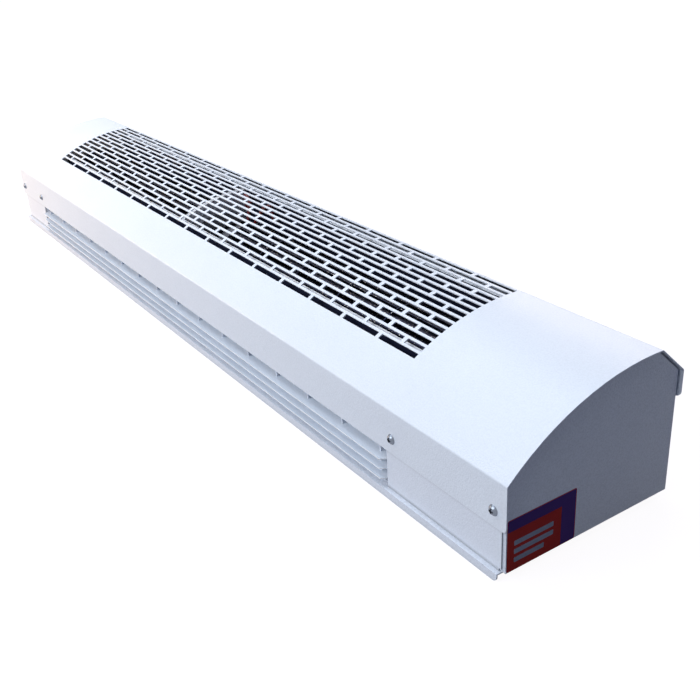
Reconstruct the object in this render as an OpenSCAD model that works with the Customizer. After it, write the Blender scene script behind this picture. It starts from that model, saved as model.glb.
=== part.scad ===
// Air curtain with a tangential fan, lying on its wall side.
// X runs along the case, -Y is the outlet side, +Z points away from the wall.
// Inside the modules, Y counts from the cover's front face and Z from the back panel.

/* [Case] */
// Length over the cover
case_l = 1000; // [960:5:1200]
// Depth of the cover from its front face to its rear face
cover_d = 156.8; // [154:0.2:162]
// Height of the bend between the front flange and the arch
front_bend_z = 67.5; // [64:0.5:70]
// Height of the crown of the arch
crown_z = 117.15; // [116:0.05:124]
// Distance of the crown behind the front face, as a share of the cover's depth
crown_share = 0.8036; // [0.78:0.0001:0.82]
// Distance at which the arch ends and the chamfer starts, as a share of the cover's depth
arch_end_share = 0.8514; // [0.83:0.0001:0.86]
// Height of the bend between the chamfer and the rear flange
chamfer_low_z = 95.3; // [93:0.1:98]
// Height of the lower edge of the front flange
front_flange_z = 32.5; // [31:0.5:33.5]
// Height of the lower edge of the rear flange
rear_flange_z = 74.3; // [60:0.1:84]
// Thickness of the folded steel sheet
sheet = 1; // [0.8:0.1:1.2]
// Outer radius of a bend in the sheet
bend_r = 2; // [1.6:0.1:3]
// Radius of the cover's free corners
flange_corner_r = 4; // [2:0.5:8]
// How far the cover stands out past each end plate
cover_over = 2; // [1:0.5:4]
// How far the lip stands out in front of the cover
lip_out = 2.8; // [2:0.1:5]
// Height of the folded lip under the back panel
lip_h = 6.5; // [5:0.5:10]
// How far the flat panels stop short of the outside of the end plates
panel_inset = 3; // [2:0.5:5]
// Width of the folded edges of the case sheets
fold_w = 12; // [10:1:14]
// Gap between the cover's rear flange and the rear of the case
rear_gap = 2.3; // [1.6:0.1:4]

/* [Inlet slots] */
// Length of a slot
slot_l = 44.4; // [40:0.4:44.8]
// Width of a slot
slot_w = 4.8; // [2:0.2:5.2]
// Metal left between two slots of a row
slot_web = 4; // [3:0.5:6]
// Distance between rows, along the arch
row_pitch = 7; // [6.4:0.1:7.2]
// Distance of the first row from the front bend, along the arch
first_row = 43.5; // [40:0.5:44]
// Metal left behind the last row, from its middle to the end of the arch
row_margin = 4; // [4:0.5:8]
// Metal left between the longest row and each end of the outlet
slot_margin = 6; // [5:0.5:10]
// How far the slots sit to the right of the fan's middle
slot_shift = 1.4; // [0:0.2:4]

/* [Outlet] */
// Length of the compartment left of the outlet, from the cover's end
left_bay_w = 86.8; // [80:0.2:92]
// Length of the compartment right of the outlet, from the cover's end
right_bay_w = 126.8; // [122:0.2:134]
// Height of the outlet opening
outlet_h = 34; // [33.5:0.5:36]
// Height of the lowest blade
blade_low_z = 5.9; // [5:0.1:7]
// Distance between blades
blade_pitch = 8.3; // [7.8:0.1:8.6]
// Thickness of a louvre blade
blade_t = 1; // [0.8:0.1:1.4]
// Depth of a louvre blade
blade_d = 20; // [16:0.5:22]
// Size of the slanted cut at a blade's front corners
blade_cut = 4.4; // [2:0.2:6]
// Gap between the louvre and each end of the opening
louvre_gap = 1.2; // [0.5:0.1:3]
// Distance between cross ribs
rib_pitch = 50.8; // [46:0.1:56]
// Least distance between an outer rib and the end of the louvre
rib_margin = 8; // [6:0.5:12]
// Thickness of a cross rib
rib_t = 1.2; // [1:0.1:2]
// Distance of the ribs' front edges behind the cover's face
rib_front = 4; // [3:0.5:6]

/* [Fan] */
// Diameter of the fan rotors
rotor_d = 80; // [74:1:82]
// Distance of the fan's axis behind the cover's face, as a share of the cover's depth
rotor_share = 0.523; // [0.515:0.001:0.545]
// Height of the fan's axis above the back panel
rotor_z = 56; // [54:0.5:58]
// Gap between a rotor's outer end and the fan side
rotor_end_gap = 14.2; // [6:0.2:24]
// Number of blades on a rotor
fan_blades = 24; // [16:2:32]
// Thickness of a rotor blade
fan_blade_t = 0.8; // [0.6:0.1:1.2]
// Radial depth of a rotor blade
fan_blade_d = 9; // [7:0.5:12]
// Number of stiffening rings on a rotor, its end discs not counted
ring_count = 4; // [2:1:6]
// Thickness of the discs and rings
disc_t = 1; // [0.8:0.1:2]
// Diameter of the fan's shafts
shaft_d = 8; // [6:0.5:10]
// Gap between the rotor and the tongue
tongue_gap = 4; // [3:0.5:4.5]
// Gap between the rotor and the scroll behind it
scroll_gap = 4; // [3:0.5:5]
// Height of the scroll's upper edge
scroll_top_z = 108.4; // [103:0.1:108.4]
// Width of the flange along the scroll's upper edge
scroll_flange_w = 5.5; // [4:0.5:10]

/* [Motor] */
// Diameter of the motor
motor_d = 72; // [60:1:76]
// Length of the motor's stator
stator_l = 40; // [24:1:40]
// Length of each end bell
bell_l = 16; // [10:1:16]
// Diameter of the rubber ring on each end bell
bush_d = 44; // [38:1:50]
// Thickness of the motor's bracket plates
bracket_t = 1.5; // [1:0.1:2]
// Width of the bracket's arms
arm_w = 12; // [8:1:16]
// Gap between the left bracket's arched edge and the cover
bracket_drop = 11; // [8:0.5:14]

/* [Fixings] */
// Diameter of the cover screws' shanks
screw_d = 4; // [3:0.5:5]
// Diameter of the cover screws' heads
head_d = 8; // [7:0.5:10]
// Height of a screw's head
head_h = 2.6; // [2:0.1:3.2]
// Length of a cover screw under its head
screw_l = 8; // [6:0.5:9]
// Height of the cover screws
screw_z = 44.5; // [42:0.5:50]
// Distance of the outer cover screws from the cover's ends
screw_end = 12; // [8:0.5:13]
// Distance of the inner right cover screw from the right end
screw_right = 119; // [112:0.5:122]
// Distance of the inner left cover screw from the left end
screw_left = 85.5; // [82:0.5:90]
// Diameter of the holes for the wall screws
wall_hole_d = 6.5; // [5:0.5:8]
// Distance of the wall screws from the cover's ends
rail_end = 50; // [44:1:60]
// Distance of the wall screws from the case's front and rear faces
wall_inset_y = 23.75; // [20:0.25:32]
// Width of a wall rail
rail_w = 30; // [26:1:34]
// Diameter of the mains cable's entry through the gland
cable_d = 9; // [6:0.5:10]

/* [Hidden] */

// How far a cut runs past what it cuts
overrun = 1;
// Radial clearance of a shank or shaft in its hole
fit = 0.05;
// Radial clearance of a cover screw in the cover
loose_fit = 0.2;
// Gap between parts that meet along a curve
seat_gap = 0.3;
// Sides of a round outline
round_fn = 96;
small_fn = 32;

// Case places worked out from the sizes above
front_y = -(lip_out + cover_d) / 2 + lip_out;
cover_x = case_l / 2;
crown_y = cover_d * crown_share;
arch_end_y = cover_d * arch_end_share;
rotor_y = cover_d * rotor_share;
plate_x = cover_x - cover_over;
panel_x = plate_x - panel_inset;
fold_x = plate_x - fold_w;
rear_y = cover_d - sheet - rear_gap;
outlet_x0 = -cover_x + left_bay_w;
outlet_x1 = cover_x - right_bay_w;
outlet_l = outlet_x1 - outlet_x0;
fan_x = (outlet_x0 + outlet_x1) / 2;
fan_half = outlet_l / 2 + sheet;
function side_plate_x(side) = fan_x + side * fan_half;
arch_rise = crown_z - front_bend_z;
arch_r = (crown_y * crown_y + arch_rise * arch_rise) / (2 * arch_rise);
arch_cz = crown_z - arch_r;
bend_angle = atan2(front_bend_z - arch_cz, -crown_y);

// The chamfer's outer line runs from arch_end to chamfer_end
arch_end = [arch_end_y, arch_cz + sqrt(pow(arch_r, 2) - pow(arch_end_y - crown_y, 2))];
chamfer_end = [cover_d, chamfer_low_z];
chamfer_dir = (chamfer_end - arch_end) / norm(chamfer_end - arch_end);
chamfer_in = [chamfer_dir.y, -chamfer_dir.x];
arch_mid = [crown_y, arch_cz];

function chamfer_z(y, inset) =
  arch_end.y + chamfer_in.y * inset
  + (y - arch_end.x - chamfer_in.x * inset) * chamfer_dir.y / chamfer_dir.x;
function chamfer_y(z, inset) =
  arch_end.x + chamfer_in.x * inset
  + (z - arch_end.y - chamfer_in.y * inset) * chamfer_dir.x / chamfer_dir.y;

// Corners of the cover's section, moved inwards by inset
function front_corner(inset) =
  [inset, arch_cz + sqrt(pow(arch_r - inset, 2) - pow(crown_y - inset, 2))];
function crown_corner(inset) =
  let(q = arch_end + chamfer_in * inset, b = (q - arch_mid) * chamfer_dir,
      c = (q - arch_mid) * (q - arch_mid) - pow(arch_r - inset, 2))
  q - chamfer_dir * (b + sqrt(b * b - c));
function rear_corner(inset) = [cover_d - inset, chamfer_z(cover_d - inset, inset)];
function arch_point(p, inset) = arch_mid + (p - arch_mid) / norm(p - arch_mid) * (arch_r - inset);

// Mitred band of a given thickness along a path of points, on the path's right side
function unit(v) = v / norm(v);
function right_of(v) = [v.y, -v.x];
function mitre(p, q, r, t) =
  let(a = right_of(unit(q - p)), b = right_of(unit(r - q)), m = a + b) m * (2 * t / (m * m));
function band_point(path, i, t) =
  i == 0 ? path[0] + right_of(unit(path[1] - path[0])) * t
  : i == len(path) - 1 ? path[i] + right_of(unit(path[i] - path[i - 1])) * t
  : path[i] + mitre(path[i - 1], path[i], path[i + 1], t);
function band(path, t) =
  concat(path, [for (i = [len(path) - 1:-1:0]) band_point(path, i, t)]);

// Stretch of a section in the YZ plane from x0 to x1
module along_x(x0, x1) {
  translate([x0, 0, 0]) rotate([90, 0, 90]) linear_extrude(x1 - x0) children();
}
// Moves a piece from case places to the part's own frame
module in_case() {
  translate([0, front_y, lip_h]) children();
}
module rod_x(x0, x1, r, y = rotor_y, z = rotor_z, fn = round_fn) {
  translate([x0, y, z]) rotate([0, 90, 0]) cylinder(r = r, h = x1 - x0, $fn = fn);
}
module block(low, high) {
  translate(low) cube(high - low);
}
module mirror_to(side) {
  if (side < 0) mirror([1, 0, 0]) children();
  else children();
}

// Closed section of the case with its own inset for the front, the arch and the chamfer
module case_section(front, arch, chamfer, rear, low) {
  intersection() {
    translate(arch_mid) circle(r = arch_r - arch, $fn = 4 * round_fn);
    polygon([
      [front, low], [front, crown_z], [chamfer_y(crown_z, chamfer), crown_z],
      [rear, chamfer_z(rear, chamfer)], [rear, low]
    ]);
  }
}
// What a rounded bend takes off a sharp corner of the cover's section
module bend_cut(mid, a, corner, b, r) {
  reach_share = 1.5;
  difference() {
    polygon([mid, mid + (a - mid) * reach_share, mid + (corner - mid) * reach_share,
             mid + (b - mid) * reach_share]);
    translate(mid) circle(r = r, $fn = small_fn);
  }
}
module cover_section(inset, low) {
  r = bend_r - inset;
  f = front_corner(bend_r);
  c = crown_corner(bend_r);
  e = rear_corner(bend_r);
  difference() {
    case_section(inset, inset, inset, cover_d - inset, low);
    bend_cut(f, [inset, f.y], front_corner(inset), arch_point(f, inset), r);
    bend_cut(c, arch_point(c, inset), crown_corner(inset), c - chamfer_in * r, r);
    bend_cut(e, e - chamfer_in * r, rear_corner(inset), [cover_d - inset, e.y], r);
  }
}

// Cover: one folded sheet with the inlet slots punched in its arch
slot_pitch = slot_l + slot_web;
slot_count = floor((outlet_l - 2 * slot_margin + slot_web) / slot_pitch);
arch_l = (bend_angle - acos((arch_end_y - crown_y) / arch_r)) * arch_r * PI / 180;
slot_rows = floor((arch_l - first_row - row_margin) / row_pitch) + 1;
field_l = slot_count * slot_pitch - slot_web;
field_x = fan_x + slot_shift - field_l / 2;
half_slot = (slot_l - slot_web) / 2;

module slot(x, l) {
  translate([x, -slot_w / 2, arch_r - sheet - overrun]) cube([l, slot_w, sheet + 2 * overrun]);
}
module slot_row(even) {
  if (even) {
    slot(field_x, half_slot);
    slot(field_x + field_l - half_slot, half_slot);
    for (i = [0:slot_count - 2]) slot(field_x + half_slot + slot_web + i * slot_pitch, slot_l);
  } else {
    for (i = [0:slot_count - 1]) slot(field_x + i * slot_pitch, slot_l);
  }
}
module free_corner(z, y) {
  for (side = [-1, 1]) mirror_to(side)
    difference() {
      block([cover_x - flange_corner_r, y - sheet - overrun, z - overrun],
            [cover_x + overrun, y + sheet + overrun, z + flange_corner_r]);
      translate([cover_x - flange_corner_r, y - sheet - 2 * overrun, z + flange_corner_r])
        rotate([-90, 0, 0])
          cylinder(r = flange_corner_r, h = 2 * sheet + 4 * overrun, $fn = small_fn);
    }
}
module cover() {
  color([0.88, 0.92, 0.98]) in_case() difference() {
    along_x(-cover_x, cover_x) difference() {
      cover_section(0, 0);
      cover_section(sheet, -overrun);
      translate([-overrun, -overrun]) square([cover_d / 2, front_flange_z + overrun]);
      translate([cover_d / 2, -overrun]) square([cover_d, rear_flange_z + overrun]);
    }
    for (row = [0:slot_rows - 1])
      translate([0, crown_y, arch_cz])
        rotate([bend_angle - 90 - (first_row + row * row_pitch) / arch_r * 180 / PI, 0, 0])
          slot_row(row % 2 == 1);
    cover_screw_places() hole_y(-overrun, sheet + overrun, screw_d / 2 + loose_fit);
    free_corner(front_flange_z, 0);
    free_corner(rear_flange_z, cover_d);
  }
}

// Cover screws, one near each end of the front and one beside each end of the outlet
cover_screw_xs = [-cover_x + screw_end, -cover_x + screw_left, cover_x - screw_right,
                  cover_x - screw_end];
module cover_screw_places() {
  for (x = cover_screw_xs) translate([x, 0, screw_z]) children();
}
module hole_y(y0, y1, r) {
  translate([0, y0, 0]) rotate([-90, 0, 0]) cylinder(r = r, h = y1 - y0, $fn = small_fn);
}
// Pan head with a cross recess on a plain shank, its seat at zero and its shank along +Z
module pan_screw(length) {
  recess_w = head_d / 6;
  cap_r = (pow(head_d / 2, 2) + pow(head_h, 2)) / (2 * head_h);
  cylinder(r = screw_d / 2, h = length, $fn = small_fn);
  difference() {
    intersection() {
      translate([0, 0, -head_h]) cylinder(r = head_d / 2, h = head_h, $fn = small_fn);
      translate([0, 0, cap_r - head_h]) sphere(r = cap_r, $fn = small_fn);
    }
    for (turn = [0, 90]) rotate([0, 0, turn])
      translate([-recess_w * 3 / 2, -recess_w / 2, -head_h - overrun])
        cube([recess_w * 3, recess_w, head_h / 2 + overrun]);
  }
}
module cover_screws() {
  color([0.75, 0.77, 0.8]) in_case()
    cover_screw_places() rotate([-90, 0, 0]) pan_screw(screw_l);
}

// Back panel: flat sheet against the wall with the lip folded down along its front edge
base_hole_y = fold_w;
foot_x = fold_w / 2;
base_screw_places = concat(
  [for (side = [-1, 1]) for (y = [base_hole_y * 2, rear_y - base_hole_y * 2])
    [side * (plate_x - foot_x), y]],
  [for (y = [base_hole_y * 3, rear_y - base_hole_y * 3]) [side_plate_x(1) + sheet + foot_x, y]],
  [for (y = [base_hole_y * 3, rear_y - base_hole_y * 3]) [side_plate_x(-1) - sheet - foot_x, y]]
);
module base_screw_holes(z0, z1) {
  for (p = base_screw_places)
    translate([p.x, p.y, z0]) cylinder(r = small_screw_d / 2 + fit, h = z1 - z0, $fn = small_fn);
}
module back_panel() {
  lip_path = [[-lip_out, -lip_h], [-lip_out, 0], [rear_y, 0]];
  color([0.84, 0.88, 0.95]) in_case() difference() {
    along_x(-panel_x, panel_x) polygon(band(lip_path, sheet));
    wall_hole_places() translate([0, 0, -lip_h - overrun])
      cylinder(r = wall_hole_d / 2, h = lip_h + 2 * overrun, $fn = small_fn);
    base_screw_holes(-sheet - overrun, overrun);
    for (side = [-1, 1]) mirror_to(side) difference() {
      block([panel_x - flange_corner_r, -lip_out - overrun, -lip_h - overrun],
            [panel_x + overrun, -lip_out + sheet + overrun, -lip_h + flange_corner_r]);
      translate([panel_x - flange_corner_r, -lip_out - 2 * overrun, -lip_h + flange_corner_r])
        rotate([-90, 0, 0])
          cylinder(r = flange_corner_r, h = sheet + 4 * overrun, $fn = small_fn);
    }
  }
}

// Wall rails: hat sections under the back panel, level with the lip
rail_flange = rail_w / 4;
rail_t = sheet * 1.5;
rail_end_gap = sheet * 4;
rail_x = cover_x - rail_end;
module wall_hole_places() {
  for (side = [-1, 1]) for (y = [wall_inset_y, rear_y - wall_inset_y])
    translate([side * rail_x, y, 0]) children();
}
module wall_rail(side) {
  path = [[-rail_w / 2, -sheet], [-rail_w / 2 + rail_flange, -sheet],
          [-rail_w / 2 + rail_flange, -lip_h + rail_t], [rail_w / 2 - rail_flange, -lip_h + rail_t],
          [rail_w / 2 - rail_flange, -sheet], [rail_w / 2, -sheet]];
  color([0.7, 0.72, 0.74]) in_case() difference() {
    translate([side * rail_x, rear_y - rail_end_gap, 0]) rotate([90, 0, 0])
      linear_extrude(rear_y - 2 * rail_end_gap) polygon(band(path, rail_t));
    wall_hole_places() translate([0, 0, -lip_h - overrun])
      cylinder(r = wall_hole_d / 2, h = lip_h + 2 * overrun, $fn = small_fn);
  }
}
module wall_rail_left() { wall_rail(-1); }
module wall_rail_right() { wall_rail(1); }

// Front panel: upright sheet behind the cover's flange with the outlet cut out of it
panel_top_z = front_bend_z - fold_w;
relief = sheet * 2;
module front_panel() {
  color([0.8, 0.84, 0.91]) in_case() difference() {
    union() {
      block([-panel_x, sheet, 0], [panel_x, 2 * sheet, panel_top_z]);
      block([-fold_x + relief, sheet, panel_top_z - sheet], [fold_x - relief, fold_w, panel_top_z]);
      block([-fold_x + relief, sheet, 0], [outlet_x0 - 2 * relief, fold_w, sheet]);
      block([outlet_x1 + 2 * relief, sheet, 0], [fold_x - relief, fold_w, sheet]);
    }
    block([outlet_x0, 0, -overrun], [outlet_x1, 3 * sheet, outlet_h]);
    for (side = [-1, 1]) mirror_to(side)
      block([panel_x - relief, 0, -overrun], [panel_x + overrun, 3 * sheet, relief]);
    cover_screw_places() hole_y(0, 3 * sheet, screw_d / 2 + fit);
  }
}

// Rear panel: upright sheet with a folded foot and a slanted top under the cover's chamfer
plate_chamfer = 2.2 * sheet;
panel_chamfer = plate_chamfer + sheet + seat_gap;
small_screw_d = screw_d * 3 / 4;
rear_face = rear_y - sheet;
rear_screw_z = (rear_flange_z + fold_w) / 3;
module rear_screw_places() {
  for (side = [-1, 1]) for (level = [1, 2])
    translate([side * (plate_x - foot_x - sheet / 2), rear_y, rear_screw_z * level]) children();
}
gland_z = rotor_z;
gland_r = cable_d / 2 + 4 * sheet;
module rear_panel() {
  top_z = chamfer_end.y + fold_w / 3;
  path = [[chamfer_y(top_z, panel_chamfer), top_z],
          [rear_face, chamfer_z(rear_face, panel_chamfer)],
          [rear_face, 0], [rear_face - fold_w, 0]];
  color([0.8, 0.84, 0.91]) in_case() difference() {
    along_x(-panel_x, panel_x) polygon(band(path, sheet));
    for (side = [-1, 1]) mirror_to(side)
      block([fold_x - relief, rear_face - fold_w - overrun, -overrun],
            [panel_x + overrun, rear_y, sheet]);
    rear_screw_places() hole_y(-3 * sheet, overrun, small_screw_d / 2 + fit);
    translate([gland_x, rear_y, gland_z]) hole_y(-3 * sheet, overrun, gland_r + fit);
  }
}

// End plate: a tray with its edge folded inwards all round
module end_plate(side) {
  arch_in = sheet + seat_gap;
  color([0.72, 0.76, 0.84]) in_case() difference() {
    mirror_to(side) difference() {
      along_x(fold_x, plate_x) case_section(2 * sheet, arch_in, plate_chamfer, rear_y, 0);
      along_x(fold_x - overrun, plate_x - sheet)
        case_section(3 * sheet, arch_in + sheet, plate_chamfer + sheet, rear_y - sheet, sheet);
    }
    cover_screw_places() hole_y(0, fold_w, screw_d / 2 + fit);
    base_screw_holes(-overrun, 2 * sheet);
    rear_screw_places() hole_y(-2 * sheet, overrun, small_screw_d / 2 + fit);
  }
}
module end_plate_left() { end_plate(-1); }
module end_plate_right() { end_plate(1); }

// Small screws that hold the case sheets together
module small_screw(length) {
  cylinder(r = small_screw_d / 2, h = length, $fn = small_fn);
  translate([0, 0, -small_screw_d / 2]) cylinder(r = small_screw_d, h = small_screw_d / 2, $fn = small_fn);
}
module base_screws() {
  color([0.75, 0.77, 0.8]) in_case()
    for (p = base_screw_places) translate([p.x, p.y, -sheet]) small_screw(small_screw_d * 2);
}
module rear_screws() {
  color([0.75, 0.77, 0.8]) in_case()
    rear_screw_places() rotate([90, 0, 0]) small_screw(small_screw_d * 2);
}

// Fan side: upright plate at each end of the fan section, carrying the outer bearing
seat_r = shaft_d * 7 / 4;
side_top = 5 * sheet;
module fan_side(side) {
  x0 = side_plate_x(side);
  step_y = fold_w + sheet;
  color([0.75, 0.77, 0.79]) in_case() difference() {
    translate([x0, 0, 0]) mirror_to(side) {
      difference() {
        along_x(0, sheet) case_section(2 * sheet, side_top, side_top, rear_face - 2 * sheet, 0);
        block([-overrun, 0, outlet_h - sheet / 2], [sheet + overrun, step_y, crown_z]);
        block([-overrun, rear_face - fold_w - sheet, -overrun],
              [sheet + overrun, rear_face + overrun, 2 * sheet]);
      }
      block([0, step_y + fold_w, 0], [fold_w, rear_face - fold_w - 2 * sheet, sheet]);
    }
    rod_x(x0 - 2 * sheet, x0 + 2 * sheet, seat_r);
    base_screw_holes(-overrun, 2 * sheet);
    if (side > 0)
      rod_x(x0 - overrun, x0 + sheet + overrun, grommet_r, lead_y, lead_z, small_fn);
  }
}
module fan_side_left() { fan_side(-1); }
module fan_side_right() { fan_side(1); }

// Scroll: sheet that runs along the back panel and curves up behind the rotors
rotor_r = rotor_d / 2;
axis = [rotor_y, rotor_z];
scroll_front = rib_front;
scroll_low_r = rotor_z - sheet;
scroll_high_r = rotor_r + scroll_gap;
scroll_steps = 12;
function scroll_point(i) =
  let(turn = 90 * i / scroll_steps,
      r = scroll_low_r + (scroll_high_r - scroll_low_r) * i / scroll_steps)
  axis + r * [sin(turn), -cos(turn)];
scroll_y = rotor_y + scroll_high_r;
scroll_path = concat(
  [[scroll_front, sheet]],
  [for (i = [0:scroll_steps]) scroll_point(i)],
  [[scroll_y, scroll_top_z], [scroll_y + scroll_flange_w, scroll_top_z]]
);
module scroll() {
  color([0.75, 0.77, 0.79]) in_case() difference() {
    along_x(side_plate_x(-1), side_plate_x(1)) polygon(band(scroll_path, sheet));
    for (x = lead_xs)
      translate([x, scroll_y, lead_z]) hole_y(-overrun, sheet + overrun, grommet_r);
  }
}

// Tongue: folded sheet in front of the rotors that parts the inlet from the outlet
tongue_turn = 139.1;
tongue_lip_share = 5 / 8;
tongue_top = axis + (rotor_r + 2 * tongue_gap) * [cos(tongue_turn), sin(tongue_turn)];
tongue_nose = [rotor_y - rotor_r - tongue_gap, rotor_z];
tongue_path = [
  tongue_top + tongue_gap * [tongue_lip_share, tongue_lip_share],
  tongue_top,
  tongue_nose,
  [tongue_nose.x - tongue_gap, outlet_h + tongue_gap],
  [2 * sheet, outlet_h],
  [2 * sheet, outlet_h + fold_w / 2]
];
module tongue() {
  color([0.75, 0.77, 0.79]) in_case()
    along_x(side_plate_x(-1), side_plate_x(1)) polygon(band(tongue_path, sheet));
}

// Space inside the scroll and the tongue
module duct_section() {
  polygon(concat(
    [for (i = [0:len(scroll_path) - 2]) scroll_path[i]],
    [for (i = [0:3]) tongue_path[i]]
  ));
}

// Louvre: three long blades held by end pieces and by a comb of cross ribs behind them
louvre_half = outlet_l / 2 - louvre_gap;
louvre_rear = rib_front + blade_d * 4 / 5;
comb_top = outlet_h - seat_gap;
comb_rail_h = blade_low_z - 2 * sheet;
rib_count = floor(2 * (louvre_half - rib_margin) / rib_pitch) + 1;
module louvre_blade(i) {
  cut_x = blade_cut * 3 / 4;
  color([0.84, 0.88, 0.95]) in_case()
    translate([fan_x, -lip_out, blade_low_z + i * blade_pitch]) linear_extrude(blade_t)
      polygon([
        [-louvre_half, blade_cut], [cut_x - louvre_half, 0], [louvre_half - cut_x, 0],
        [louvre_half, blade_cut], [louvre_half, blade_d], [-louvre_half, blade_d]
      ]);
}
module louvre_blade_bottom() { louvre_blade(0); }
module louvre_blade_middle() { louvre_blade(1); }
module louvre_blade_top() { louvre_blade(2); }
module blade_notches(x0, x1) {
  for (i = [0:2])
    block([x0, -lip_out, blade_low_z + i * blade_pitch],
          [x1, blade_d - lip_out, blade_low_z + i * blade_pitch + blade_t]);
}
module louvre_comb() {
  color([0.8, 0.84, 0.9]) in_case() difference() {
    union() {
      for (i = [0:rib_count - 1])
        translate([fan_x + (i - (rib_count - 1) / 2) * rib_pitch, 0, 0])
          block([-rib_t / 2, rib_front, sheet], [rib_t / 2, louvre_rear, comb_top]);
      block([fan_x - (rib_count - 1) / 2 * rib_pitch, louvre_rear - rib_t, sheet],
            [fan_x + (rib_count - 1) / 2 * rib_pitch, louvre_rear, sheet + comb_rail_h]);
    }
    blade_notches(fan_x - louvre_half, fan_x + louvre_half);
  }
}
module louvre_end(side) {
  color([0.8, 0.84, 0.9]) in_case() translate([fan_x, 0, 0]) mirror_to(side)
    block([louvre_half, rib_front, sheet], [fan_half, louvre_rear, comb_top]);
}
module louvre_end_left() { louvre_end(-1); }
module louvre_end_right() { louvre_end(1); }

// Motor between the two rotors, hung by a rubber ring at each end
motor_r = motor_d / 2;
shaft_r = shaft_d / 2;
bush_l = bell_l / 2;
boss_r = bush_d * 3 / 8;
armature_r = motor_r / 2;
air_gap = sheet / 2;
motor_half = stator_l / 2 + bell_l;
rotor_in = motor_half + bush_l + 2 * disc_t;
rotor_l = fan_half - rotor_in - rotor_end_gap;
hub_l = shaft_d * 2;
hub_r = shaft_d * 3 / 2;
module from_fan(side) {
  in_case() translate([fan_x, 0, 0]) mirror_to(side) children();
}
module motor_stator() {
  fin_count = 8;
  color([0.3, 0.32, 0.35]) from_fan(1) difference() {
    rod_x(-stator_l / 2, stator_l / 2, motor_r);
    rod_x(-stator_l / 2 - overrun, stator_l / 2 + overrun, armature_r + air_gap);
    translate([-fan_x, 0, 0]) for (side = [-1, 1]) lead([for (i = [0, 1]) lead_rise(side)[i]]);
    for (i = [1:fin_count - 1])
      translate([-stator_l / 2 + i * stator_l / fin_count - sheet / 2, 0, 0]) difference() {
        rod_x(0, sheet, motor_r + overrun);
        rod_x(-overrun, sheet + overrun, motor_r - sheet);
      }
  }
}
module motor_bell(side) {
  color([0.7, 0.72, 0.75]) from_fan(side) difference() {
    union() {
      rod_x(stator_l / 2, motor_half, motor_r - 3 * sheet);
      rod_x(motor_half, motor_half + bush_l, boss_r);
    }
    rod_x(stator_l / 2 - overrun, stator_l / 2 + bell_l / 4, armature_r + air_gap);
    rod_x(stator_l / 2, rotor_in, shaft_r + fit, fn = small_fn);
    for (turn = [0:60:300])
      translate([0, rotor_y, rotor_z]) rotate([turn, 0, 0]) translate([0, 0, (boss_r + motor_r) / 2])
        rotate([0, 90, 0]) cylinder(r = bell_l / 4, h = motor_half + overrun, $fn = small_fn);
  }
}
module motor_bell_left() { motor_bell(-1); }
module motor_bell_right() { motor_bell(1); }
module motor_armature() {
  color([0.45, 0.46, 0.48]) from_fan(1) difference() {
    rod_x(-stator_l / 2, stator_l / 2, armature_r);
    rod_x(-stator_l / 2 - overrun, stator_l / 2 + overrun, shaft_r, fn = small_fn);
  }
}
module motor_shaft() {
  color([0.78, 0.79, 0.8]) from_fan(1) rod_x(-rotor_in - hub_l, rotor_in + hub_l, shaft_r, fn = small_fn);
}
module motor_bush(side) {
  color([0.08, 0.08, 0.08]) from_fan(side) difference() {
    rod_x(motor_half, motor_half + bush_l, bush_d / 2);
    rod_x(motor_half - overrun, motor_half + bush_l + overrun, boss_r);
  }
}
module motor_bush_left() { motor_bush(-1); }
module motor_bush_right() { motor_bush(1); }
// The left bracket is a plate that closes the gap up to an arched, folded edge under the cover
module bracket_arch() {
  front = tongue_path[0].x + seat_gap;
  intersection() {
    translate(arch_mid) circle(r = arch_r - sheet - bracket_drop, $fn = 4 * round_fn);
    union() {
      translate([front, rotor_z]) square([scroll_y - front, crown_z - rotor_z]);
      intersection() {
        duct_section();
        translate([0, rotor_z - arm_w / 2]) square([cover_d, arm_w / 2 + rotor_r]);
      }
    }
  }
}
module motor_bracket(side) {
  x0 = motor_half + (bush_l - bracket_t) / 2;
  eye_r = bush_d / 2 + arm_w / 3;
  color([0.85, 0.87, 0.9]) from_fan(side) {
    along_x(x0, x0 + bracket_t) difference() {
      union() {
        intersection() {
          union() {
            translate(axis) circle(r = eye_r, $fn = round_fn);
            translate([0, rotor_z - arm_w / 2]) square([cover_d, arm_w]);
            translate([rotor_y - arm_w, 0]) square([2 * arm_w, rotor_z]);
          }
          duct_section();
        }
        if (side < 0) bracket_arch();
      }
      translate(axis) circle(r = bush_d / 2, $fn = round_fn);
    }
    if (side < 0) along_x(x0, x0 + arm_w / 2) difference() {
      bracket_arch();
      translate(arch_mid) circle(r = arch_r - sheet - bracket_drop - bracket_t, $fn = 4 * round_fn);
    }
    block([x0, rotor_y - arm_w, sheet], [x0 + arm_w, rotor_y, 2 * sheet]);
  }
}
module motor_bracket_left() { motor_bracket(-1); }
module motor_bracket_right() { motor_bracket(1); }

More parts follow.
